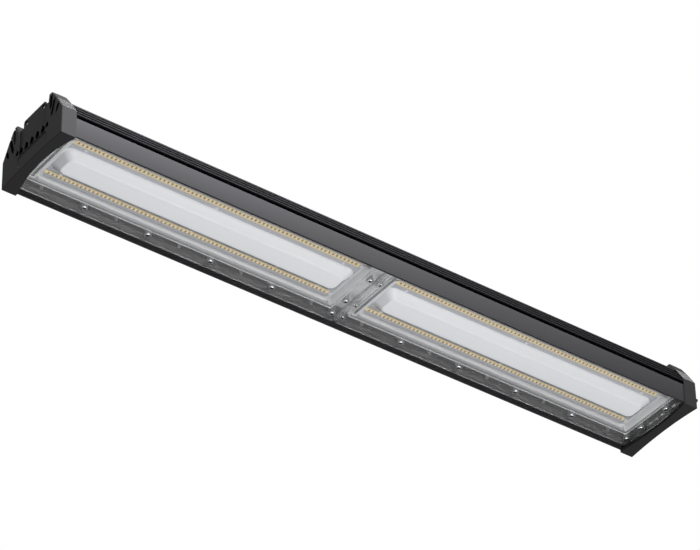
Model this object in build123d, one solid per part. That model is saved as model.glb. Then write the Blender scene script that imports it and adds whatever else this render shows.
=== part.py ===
from build123d import *
import os
from math import atan2, cos, degrees, hypot, radians, sin

# A linear high bay light, 1.18 m long, seen as it hangs.
# X runs along the length, Y across it and Z up. The light shines down.
# The origin is centred under the light, level with the lowest corners of the end caps.
# All sizes are in millimetres.

# Housing, one aluminium extrusion
housing_length = 1158.0
housing_half_width = 79.0
rail_wall = 2.9
rail_bottom_z = 3.5
ledge_margin = 0.5
tray_step = 4.0
tray_floor_thickness = 4.0
ledge_thickness = 4.0
groove_height = 6.0
groove_depth = 6.0
groove_rise = 3.6
fin_count = 4
fin_pitch = 9.5
fin_setback = 5.35
fin_thickness = 3.2
fin_depth = 7.0
deck_lip = 0.6
deck_thickness = 3.2
top_fin_height = 4.4
top_fin_thickness = 2.0
top_fin_first_y = 16.0
top_fin_pitch = 8.0
top_fin_count = 6
duct_inset = 14.0
duct_corner = 3.0
web_thickness = 3.5
port_radius = 4.2
port_inset = 5.5
chamber_step = 4.0
fin_stop_gap = 2.0

# Clear lens, one for each half of the light
lens_end_gap = 2.25
lens_side_gap = 0.6
lens_gap = 1.5
lens_corner = 5.0
rim_bottom_z = 12.0
rim_height = 8.0
rim_width = 3.0
flange_thickness = 2.5
flange_side_width = 19.5
flange_end_width = 21.0
slope_side_run = 5.5
slope_end_run = 7.0
slope_wall = 2.0
window_thickness = 2.0
window_corner = 9.0
tongue_inset = 15.0
tongue_width = 2.0
tongue_height = 5.8
boss_radius = 5.5
boss_clearance = 0.2
pin_radius = 2.4
pin_end_offset = 38.0
end_screw_y = 31.0
side_screw_count = 6
screw_inset = 8.4

# Lens seal
gasket_thickness = 1.7
gasket_width = 4.0

# Light boards, chips and their connectors
pad_thickness = 0.4
pad_width = 15.0
board_thickness = 1.6
board_end_inset = 28.5
board_side_gap = 7.0
board_corner = 2.0
chip_thickness = 0.7
chip_length = 5.2
chip_width = 4.4
chip_pitch = 7.05
chip_row_end_inset = 5.5
chip_row_inset = 9.5
chip_to_window = 1.8
connector_length = 4.4
connector_width = 4.5
connector_height = 2.2
connector_gap = 2.0
board_screw_count = 3
board_screw_side_inset = 18.0
board_screw_inset = 30.0
board_screw_length = 5.0

# White reflector between the two rows of chips
reflector_height = 15.0
reflector_base_half_width = 26.8
reflector_flat_half_width = 16.6
reflector_end_inset = 0.5
reflector_end_slope = 15.0
reflector_base_corner = 16.0
reflector_flat_corner = 9.0
reflector_wall = 1.5
bulge_clearance = 0.7
bulge_wall = 1.4

# Cross bars that close the ends of the two trays
bar_overlap = 1.0
bar_clearance = 0.2

# End plates and seals on the cut ends of the extrusion
end_gasket_thickness = 1.5
end_plate_thickness = 2.0
end_plate_inset = 7.0
end_plate_rise = 1.5
end_plate_drop = 0.5
end_gasket_margin = 2.0

# End caps
cap_length = 24.6
cap_wall = 1.2
cap_shoulder_drop = 0.3
cap_fit = 0.1
cap_end_wall = 3.5
cap_end_room = 7.5
cap_arch_rise = 4.4
lip_top_z = 9.0
lip_middle_width = 16.0
shoulder_rise = 5.4
horn_rise = 19.1
horn_outer_inset = 13.55
horn_width = 7.7
notch_rise = 6.1
notch_draft = 1.5
recess_inset = 5.0
recess_bottom_z = 47.0
recess_depth = 3.0
lug_inset = 9.0
lug_rise = 18.4
lug_corner = 4.0
lug_root = 10.0
hanging_hole_radius = 4.5
hanging_hole_inset = 6.5
hanging_hole_drop = 7.3
cap_roof_thickness = 3.0
cap_boss_radius = 5.5
cap_edge_bevel = 1.0
plate_half_width = 41.0
plate_bottom_z = 10.0
plate_top_z = 31.5
plate_corner = 9.0
plate_depth = 1.0
leaf_bottom_z = 33.5
leaf_height = 14.5
leaf_width = 5.0
leaf_pitch = 14.6
leaf_count = 5
side_leaf_y = 39.5
side_leaf_bottom_z = 36.0
side_leaf_height = 10.0
leaf_foot_share = 0.35
slot_width = 4.2
slot_depth = 9.0
upper_slot_inset = 0.6
upper_slot_drop = 5.0
upper_slot_length = 22.0
upper_slot_lean = 1.6
middle_slot_inset = 5.5
middle_slot_length = 22.6
middle_slot_lean = 6.5
lower_slot_offset = 4.0
lower_slot_rise = 9.0
lower_slot_length = 6.5
lower_slot_lean = 3.0

# Fasteners
lens_screw_radius = 2.0
lens_screw_head_radius = 4.3
lens_screw_head_height = 2.3
lens_screw_grip = 5.0
cap_screw_radius = 2.4
cap_screw_head_radius = 4.4
cap_screw_head_height = 3.0
cap_screw_y = 36.0
cap_screw_length = 16.0
cap_screw_inset = 6.0
small_screw_radius = 1.5
small_screw_head_radius = 3.0
small_screw_head_height = 1.8
small_screw_length = 9.0
board_screw_head_height = 1.4
screw_clearance = 0.15

# Flats that stand for a full round or a quarter round where a detail is small or repeats
small_sides = 8
shank_sides = 6
gland_sides = 12
corner_flats = 4

# Driver, terminal block and cable entry
driver_length = 220.0
driver_half_width = 30.0
driver_height = 27.0
driver_corner = 3.0
driver_groove_count = 3
driver_groove_pitch = 10.0
driver_groove_width = 4.0
driver_groove_depth = 0.5
driver_end_block = 44.0
driver_inner_gap = 100.0
seat_gap = 0.2
terminal_length = 42.0
terminal_half_width = 12.0
terminal_height = 18.0
terminal_inset = 154.0
terminal_ways = 5
terminal_way_width = 5.0
terminal_way_depth = 4.8
terminal_way_height = 7.2
terminal_way_rise = 9.0
gland_inset = 89.0
gland_thread_radius = 7.9
gland_bore_radius = 4.5
gland_flats = 20.0
gland_flange_height = 5.0
gland_dome_height = 11.0
gland_tail = 9.0
gland_neck_step = 0.6
gland_neck_height = 5.5
gland_hex_height = 6.0
gland_dome_inset = 0.5
gland_dome_bevel = 3.0
gland_mouth_step = 1.0
gland_fit = 0.1
seal_drop = 0.4
locknut_height = 4.0
locknut_flats = 22.0

# Breather plug low on the right end cap
plug_y = -76.0
plug_z = 19.0
plug_radius = 3.2
plug_stem_radius = 2.0
plug_height = 4.0
plug_round = 0.8

# Heights that follow from the sizes above, from the lens rim upwards
flange_z = rim_bottom_z + rim_height
tongue_base_z = flange_z + flange_thickness
gasket_z = tongue_base_z + tongue_height
ledge_z = gasket_z + gasket_thickness
floor_z = ledge_z + tray_step
board_z = floor_z - pad_thickness - board_thickness
chip_z = board_z - chip_thickness
window_top_z = chip_z - chip_to_window
window_z = window_top_z - window_thickness
reflector_z = board_z - reflector_height
bulge_z = reflector_z - bulge_clearance - bulge_wall
duct_z = floor_z + tray_floor_thickness
groove_z = floor_z + groove_rise
groove_top_z = groove_z + groove_height
deck_top_z = groove_top_z + (fin_count - 1) * fin_pitch + fin_thickness + deck_lip
deck_z = deck_top_z - deck_thickness
fin_top_z = deck_top_z + top_fin_height
shoulder_z = groove_top_z + shoulder_rise
shoulder_top_z = deck_top_z - cap_shoulder_drop
notch_z = deck_top_z + notch_rise
lug_top_z = deck_top_z + lug_rise
horn_z = deck_top_z + horn_rise
hanging_hole_z = lug_top_z - hanging_hole_drop

# Places along and across the light that follow from the sizes above
housing_end = housing_length / 2
rail_inner_y = housing_half_width - rail_wall
groove_floor_y = housing_half_width - groove_depth
lens_half_length = (housing_end - lens_end_gap - lens_gap / 2) / 2
lens_half_width = rail_inner_y - lens_side_gap
module_x = lens_gap / 2 + lens_half_length
gasket_inset = tongue_inset + tongue_width / 2 - gasket_width / 2
tray_half_width = lens_half_width - gasket_inset - gasket_width - ledge_margin
duct_half_width = tray_half_width - duct_inset
board_half_length = lens_half_length - board_end_inset
board_half_width = tray_half_width - board_side_gap
board_screw_y = board_half_width - board_screw_side_inset
chip_row_y = board_half_width - chip_row_inset
chip_count = int(2 * (board_half_length - chip_row_end_inset) / chip_pitch)
reflector_base_half_length = board_half_length - reflector_end_inset
reflector_flat_half_length = reflector_base_half_length - reflector_end_slope
last_fin_y = housing_half_width - (fin_count - 1) * fin_setback
end_plate_half_width = housing_half_width - end_plate_inset
driver_centre_x = driver_inner_gap + driver_length / 2
terminal_x = housing_end - terminal_inset
gland_x = housing_end - gland_inset
gland_nut_z = deck_top_z + gland_flange_height
cap_screw_x = housing_end - cap_screw_inset
cap_half_width = housing_half_width + cap_fit + cap_wall
cap_face_x = housing_end + end_gasket_thickness + end_plate_thickness + cap_end_room
cap_mouth_x = cap_face_x - cap_length
cap_shoulder_y = last_fin_y + cap_fit + cap_wall
horn_outer_y = cap_shoulder_y - horn_outer_inset
horn_inner_y = horn_outer_y - horn_width
recess_half_width = horn_inner_y - recess_inset
lug_half_width = recess_half_width - lug_inset
hanging_hole_y = lug_half_width - hanging_hole_inset
SIDES = (-1, 1)
overshoot = 1.0


def along_x(face, start, end):
    """Extrude a face drawn in Y and Z from one X to another."""
    return Pos(start, 0, 0) * extrude(Plane.YZ * face, end - start)


def outline(points):
    """A closed face from its corners."""
    return make_face(Polyline(*points, close=True))


def mirrored(points):
    """Corners of the +Y half, completed with the same corners on the -Y half."""
    return points + [(-y, z) for y, z in reversed(points)]


def soft_rectangle(half_x, half_y, corner):
    """A rectangle whose round corners are drawn in a few flats."""
    points = []
    for quarter, (side_x, side_y) in enumerate(((1, 1), (-1, 1), (-1, -1), (1, -1))):
        for step in range(corner_flats + 1):
            angle = radians(90 * (quarter + step / corner_flats))
            x = side_x * (half_x - corner) + corner * cos(angle)
            y = side_y * (half_y - corner) + corner * sin(angle)
            points.append((x, y))
    return outline(points)


def rounded_block(half_x, half_y, corner, bottom, top):
    """An upright block with round corners, centred on the origin."""
    return Pos(0, 0, bottom) * extrude(soft_rectangle(half_x, half_y, corner), top - bottom)


def rounded_frame(half_x, half_y, corner, width, bottom, top):
    """A ring of one width round a rounded rectangle."""
    outer = rounded_block(half_x, half_y, corner, bottom, top)
    return outer - rounded_block(half_x - width, half_y - width, max(corner - width, 0.5), bottom, top)


def square_frame(half_x, half_y, width, bottom, top):
    """A ring of one width with mitred corners."""
    ring = Rectangle(2 * half_x, 2 * half_y) - Rectangle(2 * (half_x - width), 2 * (half_y - width))
    return Pos(0, 0, bottom) * extrude(ring, top - bottom)


def tapered_block(low, high):
    """A loft between two rounded rectangles, each (half x, half y, corner, z)."""
    faces = [Pos(0, 0, z) * soft_rectangle(x, y, corner) for x, y, corner, z in (low, high)]
    return loft(Sketch() + faces, ruled=True)


def small_disc(radius, sides=small_sides):
    """The outline of a small round detail, in flats, which keeps the many small posts and holes light."""
    return RegularPolygon(radius, sides)


def post(x, y, radius, bottom, top, sides=small_sides):
    """A small post from one height to another."""
    return Pos(x, y, bottom) * extrude(small_disc(radius, sides), top - bottom)


def shank(x, y, radius, bottom, top):
    """The shank of a small screw, a locating pin, or the hole for either."""
    return post(x, y, radius, bottom, top, shank_sides)


def round_post(x, y, radius, bottom, top):
    """A true cylinder from one height to another."""
    return Pos(x, y, bottom) * extrude(Circle(radius), top - bottom)


def pan_screw(radius, length, head_radius, head_height):
    """A screw along +Z with its head under the origin."""
    return post(0, 0, head_radius, -head_height, 0) + shank(0, 0, radius, 0, length)


def fin_tip_y(index):
    """How far out the tip of a side fin reaches."""
    return housing_half_width - index * fin_setback


def housing_outline():
    """The +Y half of the extrusion's outer outline, from the rail up over the fins to the middle."""
    points = [
        (tray_half_width, floor_z),
        (tray_half_width, ledge_z),
        (rail_inner_y, ledge_z),
        (rail_inner_y, rail_bottom_z),
        (housing_half_width, rail_bottom_z),
        (housing_half_width, groove_z),
        (groove_floor_y, groove_z),
        (groove_floor_y, groove_top_z),
    ]
    for index in range(fin_count - 1):
        bottom = groove_top_z + index * fin_pitch
        points.append((fin_tip_y(index), bottom))
        points.append((fin_tip_y(index), bottom + fin_thickness))
        points.append((fin_tip_y(index) - fin_depth, bottom + fin_thickness))
        points.append((fin_tip_y(index + 1) - fin_depth, bottom + fin_pitch))
    points.append((last_fin_y, deck_top_z - fin_thickness - deck_lip))
    points.append((last_fin_y, deck_top_z))
    for index in reversed(range(top_fin_count)):
        inner = top_fin_first_y + index * top_fin_pitch
        points.append((inner + top_fin_thickness, deck_top_z))
        points.append((inner + top_fin_thickness, fin_top_z))
        points.append((inner, fin_top_z))
        points.append((inner, deck_top_z))
    return points


def side_chamber():
    """The hollow between the duct and the fins, on the +Y side."""
    inner = duct_half_width + web_thickness
    foot = groove_floor_y - web_thickness
    root = last_fin_y - fin_depth - web_thickness
    return outline([
        (inner, duct_z),
        (tray_half_width, duct_z),
        (tray_half_width + chamber_step, ledge_z + ledge_thickness),
        (foot, ledge_z + ledge_thickness),
        (foot, groove_top_z),
        (root, deck_z),
        (inner, deck_z),
    ])


def port_places():
    """Where the four screw ports lie in the section, as (y, z)."""
    y = duct_half_width + web_thickness / 2
    return [(side * y, z) for side in SIDES for z in (duct_z + port_inset, deck_z - port_inset)]


def lens_screw_places():
    """Where one lens is screwed down, measured from its centre."""
    span = lens_half_length - screw_inset
    pitch = 2 * span / (side_screw_count - 1)
    y = lens_half_width - screw_inset
    along = [(-span + i * pitch, side * y) for i in range(side_screw_count) for side in SIDES]
    across = [(end * span, side * end_screw_y) for end in SIDES for side in SIDES]
    return along + across


def pin_places():
    """Where the small locating pins of one lens stand, measured from its centre."""
    span = lens_half_length - screw_inset
    pitch = 2 * span / (side_screw_count - 1)
    y = lens_half_width - screw_inset
    middles = [-span + (i + 0.5) * pitch for i in range(1, side_screw_count - 2)]
    ends = [-span + pin_end_offset, span - pin_end_offset]
    return [(x, side * y) for x in middles + ends for side in SIDES]


def make_housing():
    section = outline(mirrored(housing_outline()))
    duct = Pos(0, (duct_z + deck_z) / 2) * soft_rectangle(duct_half_width, (deck_z - duct_z) / 2, duct_corner)
    section -= duct
    section -= side_chamber()
    section -= mirror(side_chamber(), Plane.YZ)
    for y, z in port_places():
        section += Pos(y, z) * small_disc(port_radius)
    for y, z in port_places():
        section -= Pos(y, z) * small_disc(small_screw_radius + screw_clearance, shank_sides)
    body = along_x(section, -housing_end, housing_end)
    fin_cut = Box(2 * (housing_end - cap_mouth_x + fin_stop_gap), 2 * last_fin_y, top_fin_height)
    for end in SIDES:
        body -= Pos(end * housing_end, 0, deck_top_z + top_fin_height / 2) * fin_cut
    hole = lens_screw_radius + screw_clearance
    for module in SIDES:
        for x, y in lens_screw_places():
            top = ledge_z + ledge_thickness if abs(y) > tray_half_width else duct_z
            body -= shank(module * module_x + x, y, hole, ledge_z, top)
    for end in SIDES:
        for side in SIDES:
            body -= shank(end * cap_screw_x, side * cap_screw_y, cap_screw_radius + screw_clearance, deck_z, deck_top_z)
    for x, y in board_screw_places():
        for module in SIDES:
            body -= shank(module * module_x + x, y, small_screw_radius + screw_clearance, floor_z, duct_z)
    body -= post(gland_x, 0, gland_thread_radius + screw_clearance, deck_z, deck_top_z, gland_sides)
    return body


def inset_rectangle(inset_x, inset_y, corner, z):
    """The lens's plan shape, drawn in from its edges, for a loft."""
    return (lens_half_length - inset_x, lens_half_width - inset_y, corner, z)


def reflector_half_sizes(z, grow):
    """Plan size of the reflector's outside at a height, grown by a gap, for a loft."""
    share = (z - reflector_z) / reflector_height
    half_x = reflector_flat_half_length + share * (reflector_base_half_length - reflector_flat_half_length)
    half_y = reflector_flat_half_width + share * (reflector_base_half_width - reflector_flat_half_width)
    corner = reflector_flat_corner + share * (reflector_base_corner - reflector_flat_corner)
    return (half_x + grow, half_y + grow, corner + grow, z)


def make_lens():
    """One clear moulding: rim, flange, sloped walls up to the window, and a bulge over the reflector."""
    plate = rounded_block(lens_half_length, lens_half_width, lens_corner, flange_z, tongue_base_z)
    rim = rounded_frame(lens_half_length, lens_half_width, lens_corner, rim_width, rim_bottom_z, flange_z)
    foot_x = flange_end_width
    foot_y = flange_side_width
    head_x = flange_end_width + slope_end_run
    head_y = flange_side_width + slope_side_run
    dish = tapered_block(
        inset_rectangle(foot_x, foot_y, window_corner + 2, flange_z),
        inset_rectangle(head_x, head_y, window_corner, window_z),
    )
    cover = tapered_block(
        inset_rectangle(foot_x - slope_wall, foot_y - slope_wall, window_corner + 2 + slope_wall, flange_z),
        inset_rectangle(head_x - slope_wall, head_y - slope_wall, window_corner + slope_wall, window_top_z),
    )
    grow = bulge_clearance + bulge_wall
    bulge = tapered_block(reflector_half_sizes(bulge_z, grow), reflector_half_sizes(window_top_z, grow))
    hollow_z = bulge_z + bulge_wall
    hollow = tapered_block(
        reflector_half_sizes(hollow_z, bulge_clearance),
        reflector_half_sizes(window_top_z, bulge_clearance),
    )
    lens = plate + rim + cover - dish + bulge - hollow
    frame_x = lens_half_length - tongue_inset
    frame_y = lens_half_width - tongue_inset
    lens += square_frame(frame_x, frame_y, tongue_width, tongue_base_z, gasket_z)
    boss_top = ledge_z - boss_clearance
    for x, y in lens_screw_places():
        lens += post(x, y, boss_radius, tongue_base_z, boss_top)
    for x, y in pin_places():
        lens += shank(x, y, pin_radius, tongue_base_z, boss_top)
    for x, y in lens_screw_places():
        lens -= shank(x, y, lens_screw_radius + screw_clearance, flange_z, boss_top)
    return lens


def make_lens_gasket():
    half_x = lens_half_length - gasket_inset
    half_y = lens_half_width - gasket_inset
    return square_frame(half_x, half_y, gasket_width, gasket_z, ledge_z)


def make_lens_screws():
    length = ledge_z - flange_z + lens_screw_grip
    screw = pan_screw(lens_screw_radius, length, lens_screw_head_radius, lens_screw_head_height)
    return [Pos(x, y, flange_z) * screw for x, y in lens_screw_places()]


def board_screw_places():
    """Where one light board is screwed to the tray floor, measured from its centre."""
    pitch = 2 * (board_half_length - board_screw_inset) / (board_screw_count - 1)
    return [((i - 1) * pitch, side * board_screw_y) for i in range(board_screw_count) for side in SIDES]


def make_board():
    board = rounded_block(board_half_length, board_half_width, board_corner, board_z, board_z + board_thickness)
    for x, y in board_screw_places():
        board -= shank(x, y, small_screw_radius + screw_clearance, board_z, floor_z)
    return board


def make_pads():
    """Two thermal strips under the board, one behind each row of chips."""
    strip = Box(2 * board_half_length, pad_width, pad_thickness)
    y = board_half_width - pad_width / 2
    return [Pos(0, side * y, floor_z - pad_thickness / 2) * strip for side in SIDES]


def make_board_screws():
    screw = pan_screw(small_screw_radius, board_screw_length, small_screw_head_radius, board_screw_head_height)
    return [Pos(x, y, board_z) * screw for x, y in board_screw_places()]


def make_chips(side):
    """One row of light chips."""
    chip = Box(chip_length, chip_width, chip_thickness)
    first = -(chip_count - 1) * chip_pitch / 2
    z = chip_z + chip_thickness / 2
    return [Pos(first + i * chip_pitch, side * chip_row_y, z) * chip for i in range(chip_count)]


def make_connectors():
    """Push-in wire connectors past the far end of each row."""
    first = (chip_count - 1) * chip_pitch / 2 + chip_length / 2 + connector_gap
    body = Box(connector_length, connector_width, connector_height)
    wire_mouth = Box(connector_length / 4, connector_width / 2, connector_height / 2)
    body -= Pos(connector_length / 4, 0, -connector_height / 2) * wire_mouth
    z = board_z - connector_height / 2
    return [Pos(first + connector_length / 2, side * chip_row_y, z) * body for side in SIDES]


def make_reflector():
    """A white hollow moulding with sloped sides and a flat face."""
    outer = tapered_block(reflector_half_sizes(reflector_z, 0), reflector_half_sizes(board_z, 0))
    half_x = reflector_flat_half_length - reflector_wall
    half_y = reflector_flat_half_width - reflector_wall
    depth = reflector_height - reflector_wall
    return outer - Pos(0, 0, board_z - depth / 2) * Box(2 * half_x, 2 * half_y, depth)


def bar_shape(start, end):
    """A flat cross bar in the tray, level with the ledges, drilled for the lens screws."""
    half_y = tray_half_width - bar_clearance
    length = end - start
    bar = Pos((start + end) / 2, 0, (ledge_z + floor_z) / 2) * Box(length, 2 * half_y, tray_step)
    hole = lens_screw_radius + screw_clearance
    for module in SIDES:
        for x, y in lens_screw_places():
            place = module * module_x + x
            if start < place < end and abs(y) < half_y:
                bar -= shank(place, y, hole, ledge_z, floor_z)
    return bar


def make_bars():
    reach = gasket_inset + gasket_width + bar_overlap
    middle = lens_gap / 2 + reach
    outer = module_x + lens_half_length - reach
    return {
        "tray_bar_left": bar_shape(-housing_end, -outer),
        "tray_bar_middle": bar_shape(-middle, middle),
        "tray_bar_right": bar_shape(outer, housing_end),
    }


def end_plate_outline():
    """The shape that covers the duct and the side chambers."""
    low = ledge_z + end_plate_rise
    root = last_fin_y - fin_depth
    return outline(mirrored([
        (end_plate_half_width, low),
        (end_plate_half_width, groove_top_z),
        (root, deck_top_z - end_plate_drop),
    ]))


def make_end_plate(start, end):
    plate = along_x(end_plate_outline(), start, end)
    for y, z in port_places():
        plate -= along_x(Pos(y, z) * small_disc(small_screw_radius + screw_clearance, shank_sides), start, end)
    return plate


def make_end_gasket(start, end):
    """A flat seal with the duct left open."""
    gasket = make_end_plate(start, end)
    half_height = (deck_z - duct_z) / 2 - end_gasket_margin
    opening = soft_rectangle(duct_half_width - port_radius, half_height, duct_corner)
    return gasket - along_x(Pos(0, (duct_z + deck_z) / 2) * opening, start, end)


def make_end_plate_screws(face_x):
    screw = pan_screw(small_screw_radius, small_screw_length, small_screw_head_radius, small_screw_head_height)
    return [Pos(face_x, y, z) * Rot(0, -90, 0) * Rot(0, 0, 90) * screw for y, z in port_places()]


def cap_outline():
    """Outer outline of an end cap: arched foot, sloped shoulders and two horns with a notch between."""
    side = [
        (cap_half_width, 0),
        (cap_half_width, shoulder_z),
        (cap_shoulder_y, shoulder_top_z),
        (horn_outer_y, horn_z),
        (horn_inner_y, horn_z),
        (horn_inner_y - notch_draft, notch_z),
    ]
    arch = ThreePointArc((-cap_half_width, 0), (0, cap_arch_rise), (cap_half_width, 0))
    top = Polyline(*side, *[(-y, z) for y, z in reversed(side)])
    return make_face(arch + top)


def cap_cavity_outline():
    """The room inside a cap for the end of the extrusion, with the lip left standing under the lens."""
    return outline(mirrored([
        (rail_inner_y - cap_fit, lip_top_z),
        (rail_inner_y - cap_fit, rail_bottom_z - cap_fit),
        (housing_half_width + cap_fit, rail_bottom_z - cap_fit),
        (housing_half_width + cap_fit, groove_top_z + fin_thickness + cap_fit),
        (last_fin_y + cap_fit, deck_top_z - deck_lip + cap_fit),
        (last_fin_y + cap_fit, deck_top_z + cap_fit),
    ]))


def leaf_slot(width, height):
    """A vent slot with a square foot and a pointed top, standing on the origin."""
    return outline([
        (-width / 2, 0),
        (width / 2, 0),
        (width / 2, height * leaf_foot_share),
        (0, height),
        (-width / 2, height * leaf_foot_share),
    ])


def slanted_slot(top_y, top_z, length, lean):
    """A slot of the end face with pointed ends that runs down and inwards from its top."""
    angle = degrees(atan2(length, lean))
    half = hypot(length, lean) / 2
    points = [(half + slot_width, 0), (half, slot_width / 2), (-half, slot_width / 2)]
    points += [(-half - slot_width, 0), (-half, -slot_width / 2), (half, -slot_width / 2)]
    return Pos(top_y - lean / 2, top_z - length / 2) * Rot(0, 0, angle) * outline(points)


def face_slots():
    """The three slanted slots on the +Y side of the end face, in the horn and on the shoulder."""
    upper_y = horn_outer_y - upper_slot_inset
    middle_y = cap_shoulder_y - middle_slot_inset
    lower_y = cap_shoulder_y + lower_slot_offset
    lower_z = shoulder_z + lower_slot_rise
    return [
        slanted_slot(upper_y, horn_z - upper_slot_drop, upper_slot_length, upper_slot_lean),
        slanted_slot(middle_y, shoulder_top_z, middle_slot_length, middle_slot_lean),
        slanted_slot(lower_y, lower_z, lower_slot_length, lower_slot_lean),
    ]


def lug_outline():
    """The plate between the horns, with clipped corners, that the light hangs from."""
    foot = notch_z - lug_root
    return outline(mirrored([
        (lug_half_width, foot),
        (lug_half_width, lug_top_z - lug_corner),
        (lug_half_width - lug_corner / 2, lug_top_z),
    ]))


def lip_cut():
    """Plan shape of the opening in the cap's foot, round at its inner edge."""
    inner_y = rail_inner_y - cap_fit
    mouth = cap_mouth_x - overshoot
    middle = cap_face_x - lip_middle_width
    edge = ThreePointArc((cap_mouth_x, -inner_y), (middle, 0), (cap_mouth_x, inner_y))
    rest = Polyline((cap_mouth_x, inner_y), (mouth, inner_y), (mouth, -inner_y), (cap_mouth_x, -inner_y))
    return make_face(edge + rest)


def make_cap():
    """The right end cap. The left one is its mirror image."""
    cap = along_x(cap_outline(), cap_mouth_x, cap_face_x)
    rim = cap.faces().sort_by(Axis.X)[-1].edges()
    cap = chamfer(rim, cap_edge_bevel)
    wall_x = cap_face_x - cap_end_wall
    panel_x = cap_face_x - recess_depth
    backing_x = panel_x - cap_end_wall
    cap -= along_x(cap_cavity_outline(), cap_mouth_x, wall_x)
    roof = notch_z - cap_roof_thickness
    loft_half = horn_inner_y - cap_roof_thickness
    attic = outline(mirrored([(loft_half, deck_top_z), (loft_half, roof)]))
    cap -= along_x(attic, cap_mouth_x, backing_x)
    backing = outline(mirrored([
        (recess_half_width + cap_end_wall, recess_bottom_z - cap_end_wall),
        (recess_half_width + cap_end_wall, notch_z),
    ]))
    cap += along_x(backing, backing_x, wall_x)
    recess = outline(mirrored([(recess_half_width, recess_bottom_z), (recess_half_width, notch_z)]))
    cap -= along_x(recess, panel_x, cap_face_x)
    cap += along_x(lug_outline(), backing_x, panel_x)
    for side in SIDES:
        cap += post(cap_screw_x, side * cap_screw_y, cap_boss_radius, deck_top_z + cap_fit, notch_z)
        cap -= shank(cap_screw_x, side * cap_screw_y, cap_screw_radius + screw_clearance, deck_top_z, notch_z)
        hole = Pos(side * hanging_hole_y, hanging_hole_z) * Circle(hanging_hole_radius)
        cap -= along_x(hole, backing_x, panel_x)
    cap -= Pos(0, 0, -overshoot) * extrude(lip_cut(), lip_top_z + overshoot)
    plate = soft_rectangle(plate_half_width, (plate_top_z - plate_bottom_z) / 2, plate_corner)
    plate_centre = Pos(0, (plate_top_z + plate_bottom_z) / 2)
    cap -= along_x(plate_centre * plate, cap_face_x - plate_depth, cap_face_x)
    for index in range(leaf_count):
        y = (index - (leaf_count - 1) / 2) * leaf_pitch
        leaf = Pos(y, leaf_bottom_z) * leaf_slot(leaf_width, leaf_height)
        cap -= along_x(leaf, backing_x, cap_face_x)
    for side in SIDES:
        leaf = Pos(side * side_leaf_y, side_leaf_bottom_z) * leaf_slot(leaf_width, side_leaf_height)
        cap -= along_x(leaf, backing_x, cap_face_x)
    slots = face_slots()
    slots += [mirror(slot, Plane.YZ) for slot in slots]
    for slot in slots:
        cap -= along_x(slot, cap_face_x - slot_depth, cap_face_x)
    return cap


def make_cap_screws(end):
    screw = pan_screw(cap_screw_radius, cap_screw_length, cap_screw_head_radius, cap_screw_head_height)
    return [Pos(end * cap_screw_x, side * cap_screw_y, notch_z) * Rot(180, 0, 0) * screw for side in SIDES]


def make_driver():
    """A flat closed driver case with raised end blocks."""
    bottom = duct_z + seat_gap
    case = rounded_block(driver_length / 2, driver_half_width, driver_corner, bottom, bottom + driver_height)
    groove = Box(driver_length - 2 * driver_end_block, driver_groove_width, 2 * driver_groove_depth)
    for index in range(driver_groove_count):
        y = (index - (driver_groove_count - 1) / 2) * driver_groove_pitch
        case -= Pos(0, y, bottom + driver_height) * groove
    return case


def make_terminal_block():
    bottom = duct_z + seat_gap
    block = Box(terminal_length, 2 * terminal_half_width, terminal_height)
    block = Pos(terminal_x, 0, bottom + terminal_height / 2) * block
    way_pitch = terminal_length / terminal_ways
    for index in range(terminal_ways):
        x = terminal_x + (index - (terminal_ways - 1) / 2) * way_pitch
        for side in SIDES:
            way = Box(terminal_way_width, 2 * terminal_way_depth, terminal_way_height)
            block -= Pos(x, side * terminal_half_width, bottom + terminal_way_rise + terminal_way_height / 2) * way
    return block


def hexagon(flats, bottom, height):
    return Pos(gland_x, 0, bottom) * extrude(RegularPolygon(flats / 2, 6, major_radius=False), height)


def make_gland():
    """Body, dome nut, sealing ring and locknut of the cable entry."""
    body = hexagon(gland_flats, deck_top_z, gland_flange_height)
    body += post(gland_x, 0, gland_thread_radius, deck_z - gland_tail, deck_top_z, gland_sides)
    neck_radius = gland_thread_radius - gland_neck_step
    neck_top = gland_nut_z + gland_neck_height
    body += post(gland_x, 0, neck_radius, gland_nut_z, neck_top, gland_sides)
    body -= round_post(gland_x, 0, gland_bore_radius, deck_z - gland_tail, neck_top)
    dome_top = gland_nut_z + gland_dome_height
    nut = hexagon(gland_flats, gland_nut_z, gland_hex_height)
    nut += post(gland_x, 0, gland_flats / 2 - gland_dome_inset, gland_nut_z, dome_top, gland_sides)
    nut = chamfer(nut.faces().sort_by(Axis.Z)[-1].edges(), gland_dome_bevel)
    nut -= post(gland_x, 0, neck_radius + gland_fit, gland_nut_z, neck_top + gland_fit, gland_sides)
    mouth_radius = gland_bore_radius + gland_mouth_step
    nut -= post(gland_x, 0, mouth_radius, gland_nut_z, dome_top, gland_sides)
    seal = post(gland_x, 0, mouth_radius - gland_fit, neck_top + gland_fit, dome_top - seal_drop, gland_sides)
    seal -= round_post(gland_x, 0, gland_bore_radius, neck_top, dome_top)
    locknut = hexagon(locknut_flats, deck_z - locknut_height, locknut_height)
    locknut -= post(gland_x, 0, gland_thread_radius + gland_fit, deck_z - locknut_height, deck_z, gland_sides)
    return {"gland_body": body, "gland_nut": nut, "gland_seal": seal, "gland_locknut": locknut}


def make_vent_plug():
    """A small breather plug: a knurled head outside the cap and a stem through its wall."""
    head = Pos(plug_y, plug_z) * small_disc(plug_radius)
    stem = Pos(plug_y, plug_z) * small_disc(plug_stem_radius)
    plug = along_x(head, cap_face_x, cap_face_x + plug_height)
    plug = chamfer(plug.faces().sort_by(Axis.X)[-1].edges(), plug_round)
    return plug + along_x(stem, cap_face_x - cap_end_wall, cap_face_x)


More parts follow.
